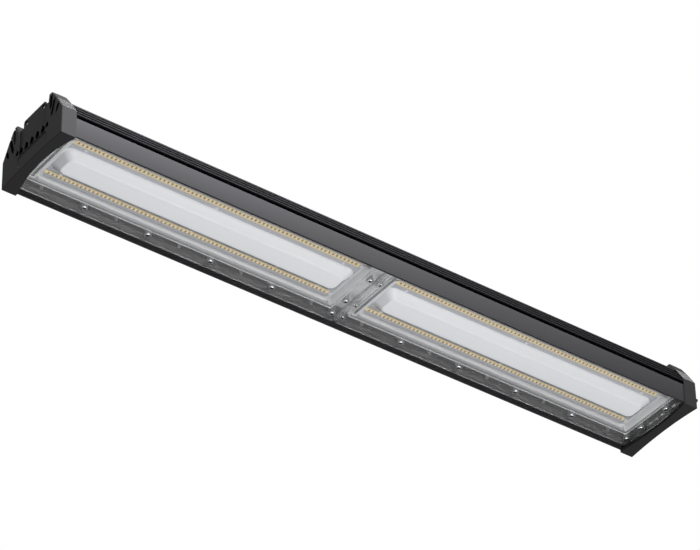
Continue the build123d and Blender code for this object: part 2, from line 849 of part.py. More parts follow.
def build_parts():
    """Every piece of the light, by the name of its node."""
    parts = {"housing": make_housing()}
    parts.update(make_bars())
    parts.update(make_gland())
    lens = make_lens()
    lens_screws = make_lens_screws()
    cap = make_cap()
    stem = Pos(plug_y, plug_z) * small_disc(plug_stem_radius + cap_fit)
    for name, sign in (("left", -1), ("right", 1)):
        shift = Pos(sign * module_x, 0, 0)
        parts["lens_" + name] = shift * lens
        parts["lens_gasket_" + name] = shift * make_lens_gasket()
        parts["lens_screws_" + name] = [shift * screw for screw in lens_screws]
        parts["led_board_" + name] = shift * make_board()
        parts["thermal_pad_" + name] = [shift * pad for pad in make_pads()]
        parts["board_screws_" + name] = [shift * screw for screw in make_board_screws()]
        parts["board_connectors_" + name] = [shift * piece for piece in make_connectors()]
        parts["leds_near_" + name] = [shift * chip for chip in make_chips(-1)]
        parts["leds_far_" + name] = [shift * chip for chip in make_chips(1)]
        parts["reflector_" + name] = shift * make_reflector()
        parts["driver_" + name] = Pos(sign * driver_centre_x, 0, 0) * make_driver()
        gasket_x = housing_end + end_gasket_thickness
        plate_x = gasket_x + end_plate_thickness
        pieces = {
            "end_gasket_": make_end_gasket(housing_end, gasket_x),
            "end_plate_": make_end_plate(gasket_x, plate_x),
            "end_plate_screws_": make_end_plate_screws(plate_x),
            "end_cap_": cap,
        }
        for stub, piece in pieces.items():
            items = piece if isinstance(piece, list) else [piece]
            if sign < 0:
                items = [mirror(item, Plane.YZ) for item in items]
            parts[stub + name] = items
        parts["end_cap_screws_" + name] = make_cap_screws(sign)
    hole = along_x(stem, cap_face_x - cap_end_wall, cap_face_x)
    parts["end_cap_right"] = [parts["end_cap_right"][0] - hole]
    parts["vent_plug"] = make_vent_plug()
    parts["terminal_block"] = make_terminal_block()
    return parts


def main():
    os.makedirs("parts", exist_ok=True)
    for name, piece in build_parts().items():
        items = piece if isinstance(piece, list) else [piece]
        solids = [solid for item in items for solid in item.solids()]
        shape = solids[0] if len(solids) == 1 else Compound(children=solids)
        export_step(shape, "parts/" + name + ".step")
        print(name, len(solids), "solids", round(sum(solid.volume for solid in solids)), "mm3")


main()
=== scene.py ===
# %% [markdown]
# # A linear high bay light
# A long light that hangs over a hall, seen from below. Its shapes could all be made here by hand, but
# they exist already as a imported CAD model, with true sizes. So that model is loaded first and stays where
# it is. It is the frame that every finish and every finer piece in this file is fitted to.

# %% Load the frame
import math
import bmesh
import bpy
from mathutils import Matrix, Vector


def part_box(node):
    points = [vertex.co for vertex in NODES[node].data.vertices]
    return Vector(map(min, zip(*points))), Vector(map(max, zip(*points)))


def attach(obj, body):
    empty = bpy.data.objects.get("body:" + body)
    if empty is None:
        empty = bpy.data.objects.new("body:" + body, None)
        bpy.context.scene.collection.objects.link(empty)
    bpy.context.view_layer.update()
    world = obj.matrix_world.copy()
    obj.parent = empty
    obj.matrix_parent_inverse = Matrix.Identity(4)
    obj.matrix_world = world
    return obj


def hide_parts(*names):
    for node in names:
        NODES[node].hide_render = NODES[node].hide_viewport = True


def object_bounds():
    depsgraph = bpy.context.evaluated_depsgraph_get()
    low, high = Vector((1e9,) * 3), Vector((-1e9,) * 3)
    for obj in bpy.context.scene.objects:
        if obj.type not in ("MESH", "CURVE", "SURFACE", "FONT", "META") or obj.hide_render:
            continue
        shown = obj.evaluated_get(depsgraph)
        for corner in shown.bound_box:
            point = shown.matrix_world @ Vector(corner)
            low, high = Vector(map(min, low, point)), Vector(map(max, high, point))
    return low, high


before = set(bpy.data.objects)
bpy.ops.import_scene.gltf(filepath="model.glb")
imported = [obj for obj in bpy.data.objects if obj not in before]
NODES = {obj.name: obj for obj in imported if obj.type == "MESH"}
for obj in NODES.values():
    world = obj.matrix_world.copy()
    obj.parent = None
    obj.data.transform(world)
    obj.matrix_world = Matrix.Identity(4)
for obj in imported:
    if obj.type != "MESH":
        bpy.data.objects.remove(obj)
cad_low, cad_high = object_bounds()
MM = 0.001
print("nodes in the frame:", len(NODES))

# %% [markdown]
# The camera stands below the left end and looks up along the light. It could be placed by eye, but then
# nothing could be measured against the photograph. So its place was worked out from the corners and
# screws, and the same points fall on the same pixels. The three angles give the direction that it looks
# in, and a small roll.

# %% Camera
YAW = math.radians(53.111183)
PITCH = math.radians(37.862153)
ROLL = math.radians(-1.300516)
PHOTO_WIDTH, PHOTO_HEIGHT = 700, 550
CENTRE_PX = (362.98277, 303.531916)
FOCAL_PX = 3904.811
DISTANCE = 5.875539
SENSOR_MM = 36.0

look = Vector((math.cos(PITCH) * math.cos(YAW), math.cos(PITCH) * math.sin(YAW), math.sin(PITCH)))
upright = Vector((-math.sin(PITCH) * math.cos(YAW), -math.sin(PITCH) * math.sin(YAW), math.cos(PITCH)))
sideways = look.cross(upright)
right = math.cos(ROLL) * sideways + math.sin(ROLL) * upright
up = -math.sin(ROLL) * sideways + math.cos(ROLL) * upright
shift_x = (CENTRE_PX[0] - PHOTO_WIDTH / 2) / FOCAL_PX
shift_y = (CENTRE_PX[1] - PHOTO_HEIGHT / 2) / FOCAL_PX
camera_place = -(look + right * shift_x - up * shift_y) * DISTANCE

camera = bpy.data.objects.new("camera", bpy.data.cameras.new("camera"))
bpy.context.scene.collection.objects.link(camera)
camera.data.sensor_width = SENSOR_MM
camera.data.lens = FOCAL_PX / PHOTO_WIDTH * SENSOR_MM
camera.data.clip_end = 50.0
turn = Matrix((right, up, -look)).transposed().to_4x4()
camera.matrix_world = Matrix.Translation(camera_place) @ turn
bpy.context.scene.camera = camera
print("camera lens in mm:", round(camera.data.lens, 1))

# %% [markdown]
# Every finish is a tree of nodes. Writing each node out takes several lines, so one helper adds a node,
# sets its values and joins its inputs. Colours are written in sRGB hex, as in a paint chart, and another
# helper turns them to the linear values that Blender computes with.

# %% Colour and node helpers
def linear(hex_code):
    values = [int(hex_code[i:i + 2], 16) / 255 for i in (1, 3, 5)]
    return [v / 12.92 if v <= 0.04045 else ((v + 0.055) / 1.055) ** 2.4 for v in values] + [1.0]


def add(tree, kind, settings=None, inputs=None, links=None):
    node = tree.nodes.new(kind)
    for name, value in (settings or {}).items():
        setattr(node, name, value)
    for name, value in (inputs or {}).items():
        node.inputs[name].default_value = value
    for name, source in (links or {}).items():
        tree.links.new(source, node.inputs[name])
    return node


def finish_of(name, base, **values):
    """A material with one Principled shader; returns the material, its tree and the shader."""
    material = bpy.data.materials.new(name)
    material.use_nodes = True
    tree = material.node_tree
    tree.nodes.clear()
    shader = add(tree, "ShaderNodeBsdfPrincipled")
    shader.inputs["Base Color"].default_value = linear(base)
    for key, value in values.items():
        shader.inputs[key.replace("_", " ")].default_value = value
    add(tree, "ShaderNodeOutputMaterial", links={"Surface": shader.outputs[0]})
    material.diffuse_color = linear(base)
    return material, tree, shader


print("middle grey in linear:", round(linear("#808080")[0], 3))

# %% [markdown]
# Paint, moulded plastic and plating all have a fine grain. It could be modelled, at the cost of millions
# of faces, or be a bump in the material, which is enough for something so low. The real grains are about
# 0.05 to 0.2 mm, which is far too fine to show: one pixel of the photograph is about 1.5 mm of the light.
# So they are drawn coarser, at 0.4 to 1.2 mm, and show only in a closer view.

# %% Grain, and which nodes get a finish
def grain(tree, shader, size_mm, height_mm, spread=0.0, roughness=0.5, stretch=(1, 1, 1)):
    """A fine random relief of one grain size, and with spread a roughness that varies with it."""
    place = add(tree, "ShaderNodeTexCoord")
    scaled = add(tree, "ShaderNodeMapping", links={"Vector": place.outputs["Object"]})
    scaled.inputs["Scale"].default_value = stretch
    noise = add(tree, "ShaderNodeTexNoise", links={"Vector": scaled.outputs[0]})
    noise.inputs["Scale"].default_value = 1.0 / (size_mm * MM)
    noise.inputs["Detail"].default_value = 2.0
    bump = add(tree, "ShaderNodeBump", links={"Height": noise.outputs[0]})
    bump.inputs["Strength"].default_value = 1.0
    bump.inputs["Distance"].default_value = height_mm * MM
    tree.links.new(bump.outputs[0], shader.inputs["Normal"])
    if spread:
        ramp = add(tree, "ShaderNodeMapRange", links={"Value": noise.outputs[0]})
        ramp.inputs["To Min"].default_value = roughness - spread
        ramp.inputs["To Max"].default_value = roughness + spread
        tree.links.new(ramp.outputs[0], shader.inputs["Roughness"])


def give(material, *names):
    """Puts one finish on CAD nodes, whose meshes stay as they are."""
    for name in names:
        data = NODES[name].data
        data.materials.clear()
        data.materials.append(material)
    print(material.name, "on", len(names), "nodes")


print("one pixel of the photograph in mm:", round(DISTANCE / FOCAL_PX / MM, 2))

# %% [markdown]
# The housing is one long aluminium extrusion with a dark powder coat. The coat is a dielectric, so it
# isn't metallic: the eye gets a dark grey body colour under a weak, broad sheen. The side panel gets
# lighter towards its upper edge, where it catches more light. A lamp could do that, but it would change
# everything else near it too, so it is painted light: a ramp of tones over the height. The colours are
# written a little dark, because the near lamp lights the left end more than plainly.

# %% Powder coat on the side panel
GROOVE_Z = 37.6 * MM
PANEL_FOOT_Z = 3.5 * MM

powder_coat, tree, shader = finish_of("powder_coated_aluminium", "#2f2f31", Roughness=0.45)
grain(tree, shader, 0.8, 0.012, 0.05, 0.45)
place = add(tree, "ShaderNodeTexCoord")
height = add(tree, "ShaderNodeSeparateXYZ", links={"Vector": place.outputs["Object"]}).outputs["Z"]
rise = add(tree, "ShaderNodeMapRange", links={"Value": height})
rise.inputs["From Min"].default_value = PANEL_FOOT_Z
rise.inputs["From Max"].default_value = GROOVE_Z
# Painted sheen: the panel's colour gets lighter towards the groove
panel_sheen_tones = add(tree, "ShaderNodeValToRGB", links={"Fac": rise.outputs[0]})
panel_sheen_tones.color_ramp.elements[0].color = linear("#29292b")
panel_sheen_tones.color_ramp.elements[1].color = linear("#333335")
print("the panel's tones run from", round(PANEL_FOOT_Z / MM, 1), "to", round(GROOVE_Z / MM, 1), "mm")

# %% [markdown]
# The fins above the groove are almost black, which is painted shade between them, with a thin lighter
# line along the edge of each, a painted highlight. On the real light those lines are light on an edge.
# At this size they would fall between the pixels, so they are tones of the paint here. Where on its
# pitch a point lies, by its height on the object, tells whether it is on an edge. The deck's top edge
# gets the same painted highlight.

# %% Powder coat on the fins
FIRST_FIN_Z, FIN_PITCH = 43.6 * MM, 9.5 * MM
FIN_EDGE_LOW, FIN_EDGE_HIGH = 2.1 * MM, 3.3 * MM
DECK_EDGE_Z = 73.6 * MM
PANEL_GLOSS, FIN_GLOSS = 0.04, 0.01

over = add(tree, "ShaderNodeMath", {"operation": "SUBTRACT"}, {1: FIRST_FIN_Z}, {0: height})
on_fin = add(tree, "ShaderNodeMath", {"operation": "FLOORED_MODULO"}, {1: FIN_PITCH}, {0: over.outputs[0]})
on_fin = on_fin.outputs[0]
# A band near each fin's edge, and the deck's top edge, take the painted highlight
over_low = add(tree, "ShaderNodeMath", {"operation": "GREATER_THAN"}, {1: FIN_EDGE_LOW}, {0: on_fin})
under_high = add(tree, "ShaderNodeMath", {"operation": "LESS_THAN"}, {1: FIN_EDGE_HIGH}, {0: on_fin})
edge = add(tree, "ShaderNodeMath", {"operation": "MULTIPLY"},
           links={0: over_low.outputs[0], 1: under_high.outputs[0]})
deck_edge_highlight = add(tree, "ShaderNodeMath", {"operation": "GREATER_THAN"}, {1: DECK_EDGE_Z}, {0: height})
painted_edge_highlight = add(tree, "ShaderNodeMath", {"operation": "MAXIMUM"},
               links={0: edge.outputs[0], 1: deck_edge_highlight.outputs[0]})
# Painted shade on the fins, painted highlight on their edges
fin_shade_and_highlight = add(tree, "ShaderNodeValToRGB", links={"Fac": painted_edge_highlight.outputs[0]})
fin_shade_and_highlight.color_ramp.elements[0].color = linear("#08080a")
fin_shade_and_highlight.color_ramp.elements[1].color = linear("#2c2c2e")

# Above the groove the fins' painted shade and highlight tones and their lower gloss take over
on_fins = add(tree, "ShaderNodeMath", {"operation": "GREATER_THAN"}, {1: GROOVE_Z}, {0: height})
gloss = add(tree, "ShaderNodeMath", {"operation": "MULTIPLY_ADD"},
            {1: FIN_GLOSS - PANEL_GLOSS, 2: PANEL_GLOSS}, {0: on_fins.outputs[0]})
tree.links.new(gloss.outputs[0], shader.inputs["Specular IOR Level"])
blend = add(tree, "ShaderNodeMix", {"data_type": "RGBA"},
            links={"Factor": on_fins.outputs[0], 6: panel_sheen_tones.outputs[0], 7: fin_shade_and_highlight.outputs[0]})
tree.links.new(blend.outputs[2], shader.inputs["Base Color"])
give(powder_coat, "housing")

# %% [markdown]
# The end caps are moulded from black ABS. The mould was spark eroded, which leaves a fine even grain and
# a satin look. ABS normally gets the full gloss of a plastic. Here the gloss is turned far down, because
# the end faces are seen at a flat angle and would mirror the white backdrop, which the real ones don't.

# %% Moulded ABS
abs_black, tree, shader = finish_of("moulded_abs", "#2c2c2d", Roughness=0.42)
shader.inputs["Specular IOR Level"].default_value = 0.02
grain(tree, shader, 0.6, 0.015, 0.05, 0.42)
give(abs_black, "end_cap_left", "end_cap_right", "vent_plug", "gland_body", "gland_nut", "gland_locknut")

# %% [markdown]
# The seals behind the lenses are translucent silicone: some light enters and comes out again nearby, so
# it has subsurface scattering and not only a pale colour. Those under the end caps are black EPDM rubber,
# which is plain and dull.

# %% Silicone and rubber
silicone, tree, shader = finish_of("silicone", "#eceef0", Roughness=0.4)
shader.inputs["Subsurface Weight"].default_value = 0.2
shader.inputs["Subsurface Radius"].default_value = (0.002, 0.002, 0.002)
grain(tree, shader, 1.0, 0.01)
give(silicone, "lens_gasket_left", "lens_gasket_right")
rubber, tree, shader = finish_of("epdm_rubber", "#151515", Roughness=0.7)
grain(tree, shader, 0.8, 0.02)
give(rubber, "end_gasket_left", "end_gasket_right", "gland_seal", "thermal_pad_left", "thermal_pad_right")

# %% [markdown]
# The screws are zinc plated steel. It is a metal, so it is fully metallic and takes its looks from what
# it mirrors. The plating bath leaves the gloss slightly uneven, which is why the roughness varies.

# %% Zinc plated steel
zinc, tree, shader = finish_of("zinc_plated_steel", "#d2d4d8", Roughness=0.25, Metallic=1.0)
grain(tree, shader, 0.5, 0.004, 0.08, 0.25)
give(zinc, *[n for n in NODES if "screws" in n])

# %% [markdown]
# The light boards carry a pale grey-white solder mask, a baked lacquer. The connectors are moulded from
# white nylon. Both are plain plastics to the eye, so a colour, a roughness and a faint grain are enough.

# %% Boards and connectors
mask_white, tree, shader = finish_of("solder_mask", "#a6a8b2", Roughness=0.45)
grain(tree, shader, 1.2, 0.006)
give(mask_white, "led_board_left", "led_board_right")
nylon, tree, shader = finish_of("white_nylon", "#e6e7ea", Roughness=0.45)
grain(tree, shader, 0.8, 0.01)
give(nylon, "board_connectors_left", "board_connectors_right", "terminal_block")

# %% [markdown]
# The cross bar under the joint of the two lenses is bare aluminium as it came from the mill, and so are
# the end plates and the driver cases. Rolling leaves streaks along the metal, so its grain is stretched
# that way. The two outer bars are stove enamelled black.

# %% Plain aluminium and enamel
aluminium, tree, shader = finish_of("mill_finish_aluminium", "#d6d7d9", Roughness=0.4, Metallic=1.0)
grain(tree, shader, 0.5, 0.006, 0.06, 0.4, stretch=(0.05, 1, 1))
give(aluminium, "tray_bar_middle", "end_plate_left", "end_plate_right", "driver_left", "driver_right")
bar_black, tree, shader = finish_of("black_enamel", "#1b1b1c", Roughness=0.4)
grain(tree, shader, 0.8, 0.01)
give(bar_black, "tray_bar_left", "tray_bar_right")

# %% [markdown]
# The finer pieces are built as stacks of rings. A ring is the outline of a rectangle with round corners,
# or a circle, at one height, and two rings with as many points each are joined by a band of faces. The
# same could be done by cutting and joining solids, but one closed skin made of bands has clean faces and
# a known finish on each.

# %% Rings and stacks
def ring(half_x, half_y, corner, z, steps=8):
    points = []
    for quarter, (side_x, side_y) in enumerate(((1, 1), (-1, 1), (-1, -1), (1, -1))):
        for step in range(steps + 1):
            angle = math.radians(90 * (quarter + step / steps))
            x = side_x * (half_x - corner) + corner * math.cos(angle)
            y = side_y * (half_y - corner) + corner * math.sin(angle)
            points.append(Vector((x, y, z)))
    return points


def circle(radius, z, sides=24):
    turns = [i * math.tau / sides for i in range(sides)]
    return [Vector((radius * math.cos(turn), radius * math.sin(turn), z)) for turn in turns]


def stack(bm, rings, middle, closed=False, finishes=None):
    """Joins rings by bands of faces; the ends are closed, or joined to each other for a ring-shaped piece."""
    loops = [[bm.verts.new(p + Vector(middle)) for p in points] for points in rings]
    pairs = list(zip(loops, loops[1:]))
    if closed:
        pairs.append((loops[-1], loops[0]))
    for index, (a, b) in enumerate(pairs):
        for i in range(len(a)):
            j = (i + 1) % len(a)
            face = bm.faces.new((a[i], a[j], b[j], b[i]))
            face.material_index = finishes[index] if finishes else 0
    if not closed:
        for loop, index in ((loops[0], 0), (loops[-1], -1)):
            face = bm.faces.new(loop)
            face.material_index = finishes[index] if finishes else 0


print("points in a ring:", len(ring(2, 2, 1, 0)), "in a circle:", len(circle(1, 0)))

# %% [markdown]
# A piece that is done gets its finishes and its place in the light. If it asks for them it also gets
# rounded edges, as a mould leaves them. These could be drawn as more rings, but a Bevel modifier rounds
# every sharp edge at once. Shading is smooth up to an angle and sharp beyond it. Sizes are in
# millimetres up to here, and this step scales them to metres.

# %% Finished pieces
BEVEL_ANGLE = 28


def piece(name, bm, finishes, node=None, round_mm=0.0, smooth=40):
    """Turns a bmesh in millimetres into a piece of the light that rides with it."""
    bmesh.ops.recalc_face_normals(bm, faces=bm.faces)
    bmesh.ops.scale(bm, vec=(MM, MM, MM), verts=bm.verts)
    mesh = bpy.data.meshes.new(name)
    bm.to_mesh(mesh)
    bm.free()
    for finish in finishes:
        mesh.materials.append(finish)
    obj = bpy.data.objects.new(name, mesh)
    bpy.context.scene.collection.objects.link(obj)
    if round_mm:
        bevel = obj.modifiers.new("rounded edges", "BEVEL")
        bevel.width = round_mm * MM
        bevel.segments = 2
        bevel.limit_method = "ANGLE"
        bevel.angle_limit = math.radians(BEVEL_ANGLE)
    mesh.polygons.foreach_set("use_smooth", [True] * len(mesh.polygons))
    mesh.set_sharp_from_angle(angle=math.radians(smooth))
    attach(obj, "root")
    if node:
        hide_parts(node)
    print(name, "faces", len(mesh.polygons))


print("a rounded edge turns by more than", BEVEL_ANGLE, "degrees")

# %% [markdown]
# The two halves of the light are alike, so each finer piece is drawn once and placed twice. Where the
# halves lie, and how large a lens is, could be typed in, but it is measured on the CAD lens: then the
# pieces here still fit when that changes.

# %% Measure the lens
lens_low, lens_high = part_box("lens_right")
MODULE_X = (lens_low[0] + lens_high[0]) / 2 / MM
LENS_HALF_LENGTH = (lens_high[0] - lens_low[0]) / 2 / MM
LENS_HALF_WIDTH = (lens_high[1] - lens_low[1]) / 2 / MM
HALVES = {"left": -MODULE_X, "right": MODULE_X}
print("lens half sizes in mm:", round(LENS_HALF_LENGTH, 2), round(LENS_HALF_WIDTH, 2))

# %% [markdown]
# The end caps keep the shape of their CAD solids, but the vent slots of the real caps are wider than the
# solids have them. Drawing the whole cap again would risk its outline. So a copy of each CAD cap is cut
# once more, with wider leaves and slanted slots at the same places. The cutters are prisms drawn in the
# end face, and they are removed at the end. The insides of the slots are the same plastic, but near black
# here: painted shade, where hardly any light comes back. The sides of the two horns have a coarser, duller
# texture, and a slightly lighter colour that is painted light for how those sides are lit.

# %% Slot outlines and finishes
LEAF_WIDTH, LEAF_HEIGHT, LEAF_FOOT_Z, LEAF_PITCH, LEAF_COUNT = 10.4, 17.0, 32.6, 14.6, 5
LEAF_SHOULDER = 0.4
SIDE_LEAF_Y, SIDE_LEAF_FOOT_Z, SIDE_LEAF_HEIGHT, SIDE_LEAF_WIDTH = 39.8, 36.0, 11.0, 7.4
SLOT_WIDTH, SLOT_DEPTH, LEAF_DEPTH = 6.2, 9.0, 6.3
SLOTS = ((50.1, 90.0, 22.0, 1.6), (58.75, 75.6, 22.6, 6.5), (68.25, 58.0, 6.5, 3.0))

# Painted shade: the slots' insides are near black
abs_slot_shade, tree, shader = finish_of("moulded_abs_slot_shade", "#040404", Roughness=0.7)
shader.inputs["Specular IOR Level"].default_value = 0.02
grain(tree, shader, 0.8, 0.01)
# Painted light: the horn sides get a lighter, duller copy of the ABS
abs_coarse_lit, tree, shader = finish_of("moulded_abs_coarse_lit", "#323233", Roughness=0.6)
shader.inputs["Specular IOR Level"].default_value = 0.0
grain(tree, shader, 0.8, 0.02)


def leaf(middle_y, foot_z, height, width):
    half = width / 2
    shoulder = foot_z + LEAF_SHOULDER * height
    return [(middle_y - half, foot_z), (middle_y + half, foot_z), (middle_y + half, shoulder),
            (middle_y, foot_z + height), (middle_y - half, shoulder)]


def slanted(side, top_y, top_z, length, lean):
    """A slot with pointed ends that runs down and inwards from its top."""
    run = Vector((-lean, -length))
    along = run.normalized()
    across = Vector((-along.y, along.x)) * SLOT_WIDTH / 2
    top = Vector((top_y, top_z))
    foot = top + run
    points = [top - along * SLOT_WIDTH, top + across, foot + across, foot + along * SLOT_WIDTH, foot - across,
              top - across]
    return [(side * p.x, p.y) for p in points]


leaves = [leaf((i - (LEAF_COUNT - 1) / 2) * LEAF_PITCH, LEAF_FOOT_Z, LEAF_HEIGHT, LEAF_WIDTH)
          for i in range(LEAF_COUNT)]
leaves += [leaf(side * SIDE_LEAF_Y, SIDE_LEAF_FOOT_Z, SIDE_LEAF_HEIGHT, SIDE_LEAF_WIDTH) for side in (-1, 1)]
slots = [slanted(side, *slot) for side in (-1, 1) for slot in SLOTS]
print("leaves per cap:", len(leaves), "slanted slots per cap:", len(slots))

# %% [markdown]
# A cutter is a prism: one outline drawn at two depths, with a face between each pair of edges. Blender's
# own cube could be scaled to one, but not to an outline with points. Cutter and cap carry the same list
# of finishes, so that a number means the same one on both.

# %% Cutting helpers
SLOT_SHADE, COARSE_LIT = 1, 2
cap_finishes = [abs_black, abs_slot_shade, abs_coarse_lit]


def prism(bm, outline, x_from, x_to):
    ends = [[bm.verts.new((x, y, z)) for y, z in outline] for x in (x_from, x_to)]
    bm.faces.new(ends[0])
    bm.faces.new(ends[1])
    for i in range(len(outline)):
        j = (i + 1) % len(outline)
        bm.faces.new((ends[0][i], ends[0][j], ends[1][j], ends[1][i]))


def mesh_object(name, bm):
    """A plain object that is needed only while a cap is cut."""
    bmesh.ops.recalc_face_normals(bm, faces=bm.faces)
    mesh = bpy.data.meshes.new(name)
    bm.to_mesh(mesh)
    bm.free()
    for finish in cap_finishes:
        mesh.materials.append(finish)
    obj = bpy.data.objects.new(name, mesh)
    bpy.context.scene.collection.objects.link(obj)
    return obj


print("finishes on a cap:", [finish.name for finish in cap_finishes])

# %% [markdown]
# A Boolean modifier takes the prisms out of the cap. It needs a closed body, so the points that the CAD
# mesh has twice are joined first. Faces that it makes keep the finish of the cutter, which paints shade,
# a near-black tone, into the slots' insides without picking faces afterwards. The sharp-edge angle is
# small, because the cap's shoulder turns by only 31 degrees and would otherwise be shaded as if it were
# round.

# %% End caps
CAP_FACE_X = cad_low[0] / MM
CUTTER_START = 1.0
SAME_POINT_MM = 0.01
HORN_FOOT_Z, SIDEWAYS = 77.5, 0.5
CAP_SMOOTH = 15

for name, end in (("left", 1), ("right", -1)):
    face_x = end * CAP_FACE_X
    bm = bmesh.new()
    for outlines, depth in ((leaves, LEAF_DEPTH), (slots, SLOT_DEPTH)):
        for outline in outlines:
            prism(bm, outline, face_x - end * CUTTER_START, face_x + end * depth)
    bmesh.ops.scale(bm, vec=(MM, MM, MM), verts=bm.verts)
    for face in bm.faces:
        face.material_index = SLOT_SHADE
    cutter = mesh_object("cutter", bm)
    bm = bmesh.new()
    bm.from_mesh(NODES["end_cap_" + name].data)
    bmesh.ops.remove_doubles(bm, verts=bm.verts, dist=SAME_POINT_MM * MM)
    body = mesh_object("cap_body", bm)
    cut = body.modifiers.new("slots", "BOOLEAN")
    cut.operation = "DIFFERENCE"
    cut.solver = "EXACT"
    cut.object = cutter
    cut.use_self = True
    bpy.context.view_layer.update()
    shape = bpy.data.meshes.new_from_object(body.evaluated_get(bpy.context.evaluated_depsgraph_get()))
    bm = bmesh.new()
    bm.from_mesh(shape)
    bmesh.ops.scale(bm, vec=(1 / MM,) * 3, verts=bm.verts)
    bpy.data.objects.remove(cutter)
    bpy.data.objects.remove(body)
    print("cap", name, "open edges", sum(len(e.link_faces) != 2 for e in bm.edges))
    bm.normal_update()
    # The horn sides, picked by the way they face, get the lighter copy: painted light
    for face in bm.faces:
        if face.calc_center_median().z > HORN_FOOT_Z and abs(face.normal.y) > SIDEWAYS:
            face.material_index = COARSE_LIT
    piece("slotted_cap_" + name, bm, cap_finishes, "end_cap_" + name, smooth=CAP_SMOOTH)

# %% [markdown]
# The white reflector runs down the middle of each half. It is an injection moulding in white
# polycarbonate, with sloped sides, round corners and a soft crease between slope and flat. A bevel could
# round that crease, but it would round every edge alike. So the crease is a small arc of rings of its
# own, and the light rolls over it as it does in the photograph.

# %% Rings of the reflector
REFLECTOR_TOP_Z = 32.0
REFLECTOR_FLAT_Z = 17.0
REFLECTOR_BASE = (259.0, 26.8, 16.0)
REFLECTOR_FLAT = (244.0, 16.6, 9.0)
REFLECTOR_WALL = 1.5
CREASE_STEPS = 5
CREASE_LENGTH = 2.6
CREASE_SAG = 1.6

reflector_white, tree, shader = finish_of("white_polycarbonate", "#eceef1", Roughness=0.45)
shader.inputs["Specular IOR Level"].default_value = 0.3
grain(tree, shader, 1.0, 0.006)


def reflector_size(z, grow=0.0):
    """Half length, half width and corner of the reflector's outside at a height."""
    share = (z - REFLECTOR_FLAT_Z) / (REFLECTOR_TOP_Z - REFLECTOR_FLAT_Z)
    return [flat + share * (base - flat) + grow for flat, base in zip(REFLECTOR_FLAT, REFLECTOR_BASE)]


def crease_rings():
    """Rings that roll from the slope into the flat face."""
    rings = []
    for step in range(CREASE_STEPS + 1):
        turn = step / CREASE_STEPS
        z = REFLECTOR_FLAT_Z + CREASE_SAG * (1 - turn) ** 2
        half_x, half_y, corner = reflector_size(REFLECTOR_FLAT_Z + CREASE_SAG * (1 - turn))
        inward = CREASE_LENGTH * 0.5 * turn ** 2
        rings.append(ring(half_x - inward, half_y - inward, corner - inward * 0.5, z))
    return rings


print("rings in the crease:", len(crease_rings()))

# %% [markdown]
# The reflector is a thin shell, open towards the board. A Solidify modifier could thicken one skin. But
# the inside is never seen and needs no crease, so it is a second, simpler stack. Both stacks are left
# open at the top, and a band of faces joins their rims.

# %% Reflector
def open_top(bm, faces, over_z):
    """Takes the large face that closes a stack at its top away, and leaves an open rim."""
    top = [f for f in faces if len(f.verts) > 4 and f.calc_center_median().z > over_z]
    bmesh.ops.delete(bm, geom=top, context="FACES_ONLY")


for name, x in HALVES.items():
    bm = bmesh.new()
    outer = [ring(*reflector_size(REFLECTOR_TOP_Z), REFLECTOR_TOP_Z)] + crease_rings()
    inner_flat = REFLECTOR_FLAT_Z + REFLECTOR_WALL
    inner = [ring(*reflector_size(inner_flat, -REFLECTOR_WALL), inner_flat)]
    inner += [ring(*reflector_size(REFLECTOR_TOP_Z, -REFLECTOR_WALL), REFLECTOR_TOP_Z)]
    stack(bm, outer[::-1], (x, 0, 0))
    open_top(bm, list(bm.faces), inner_flat)
    before = set(bm.faces)
    stack(bm, inner, (x, 0, 0))
    open_top(bm, [f for f in bm.faces if f not in before], inner_flat + 1)
    rims = [e for e in bm.edges if len(e.link_faces) == 1]
    bmesh.ops.bridge_loops(bm, edges=rims)
    piece("reflector_skin_" + name, bm, [reflector_white], "reflector_" + name, smooth=50)

# %% [markdown]
# Each lens is one injection moulding in clear polycarbonate. Real glass and plastic bend the light that
# passes, and the renderer can compute that, but it then finds hardly any way for a lamp's light to get
# inside. So the lens bends what the camera sees, and lets shadow rays and soft light go straight
# through, with a small loss. Both the lens and the backdrop need such a switch, so it is one helper.
#
# Clear polycarbonate has an IOR of 1.585 and is smooth. With those values the thick flange looks marbled
# here, so its IOR is 1.45 and it is slightly rough. The walls carry the mould's fine texture and look
# frosted, the thick parts at the ends look milky, and the thin bulge over the white reflector hardly
# shows, so its wall bends the light very little.

# %% Clear polycarbonate
def switch_for_rays(tree, rays, usual, special, share=1.0):
    """One shader for most rays and another one, by a share, for the kinds of ray that are named."""
    path = add(tree, "ShaderNodeLightPath")
    chosen = path.outputs[rays[0]]
    for ray in rays[1:]:
        links = {0: chosen, 1: path.outputs[ray]}
        chosen = add(tree, "ShaderNodeMath", {"operation": "MAXIMUM"}, links=links).outputs[0]
    if share < 1.0:
        chosen = add(tree, "ShaderNodeMath", {"operation": "MULTIPLY"}, {1: share}, {0: chosen}).outputs[0]
    return add(tree, "ShaderNodeMixShader", links={0: chosen, 1: usual, 2: special}).outputs[0]


def show(tree, source):
    """Makes one shader what the material shows."""
    output = [n for n in tree.nodes if n.type == "OUTPUT_MATERIAL"][0]
    tree.links.new(source, output.inputs["Surface"])


def polycarbonate(name, base, transmission, passed, **values):
    material, tree, shader = finish_of(name, base, **values)
    shader.inputs["Transmission Weight"].default_value = transmission
    through = add(tree, "ShaderNodeBsdfTransparent", inputs={"Color": (passed, passed, passed, 1.0)})
    light_rays = ("Is Shadow Ray", "Is Diffuse Ray")
    show(tree, switch_for_rays(tree, light_rays, shader.outputs[0], through.outputs[0]))
    print(name, "passes", passed, "of the light")
    return material


clear = polycarbonate("clear_polycarbonate", "#ffffff", 0.96, 0.95, Roughness=0.24, IOR=1.45)
frosted = polycarbonate("textured_polycarbonate", "#a9abae", 0.7, 0.9, Roughness=0.35, IOR=1.35)
